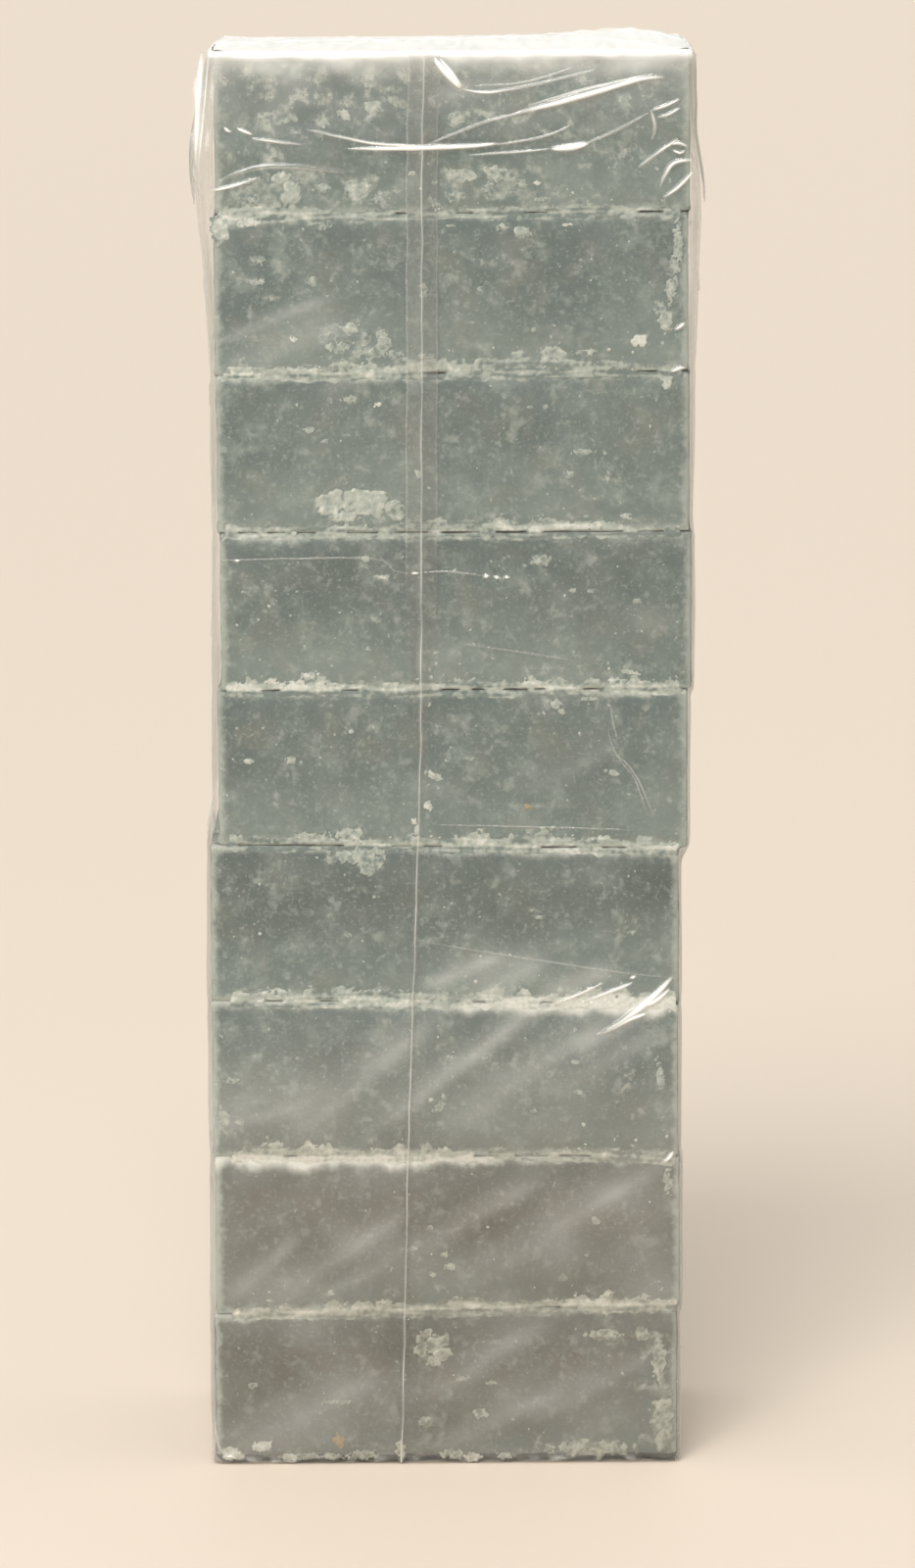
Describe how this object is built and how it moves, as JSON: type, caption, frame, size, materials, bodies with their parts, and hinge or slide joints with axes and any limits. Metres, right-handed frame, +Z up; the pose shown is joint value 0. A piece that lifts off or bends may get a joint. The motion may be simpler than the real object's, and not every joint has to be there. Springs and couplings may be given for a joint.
{
  "type": "gymnastics chalk block pack",
  "caption": "Tall column of pressed gymnastics chalk blocks sealed in a clear film bag with a lap seam down the front and folded ears at both ends.",
  "frame": {"origin": "middle of the footprint, on the surface that the pack stands on", "axes": "+Z up along the column, -Y out of the front with the lap seam, +X to the right seen from the front"},
  "size_m": [0.0842, 0.0515, 0.2351],
  "materials": {
    "chalk": "matte pressed powder, grey-teal, with white crumbs at the edges",
    "film": "clear glossy shrink film"
  },
  "bodies": {
    "root": {"chalk_block_1": "chalk", "chalk_block_2": "chalk", "chalk_block_3": "chalk", "chalk_block_4": "chalk", "chalk_block_5": "chalk", "chalk_block_6": "chalk", "chalk_block_7": "chalk", "chalk_block_8": "chalk", "chalk_block_9": "chalk", "film_sleeve": "film", "lap_seam": "film", "top_film": "film", "top_cross_seal": "film", "top_ear_left": "film", "top_ear_right": "film", "bottom_film": "film", "bottom_cross_seal": "film", "bottom_ear_left": "film", "bottom_ear_right": "film"}
  },
  "joints": []
}
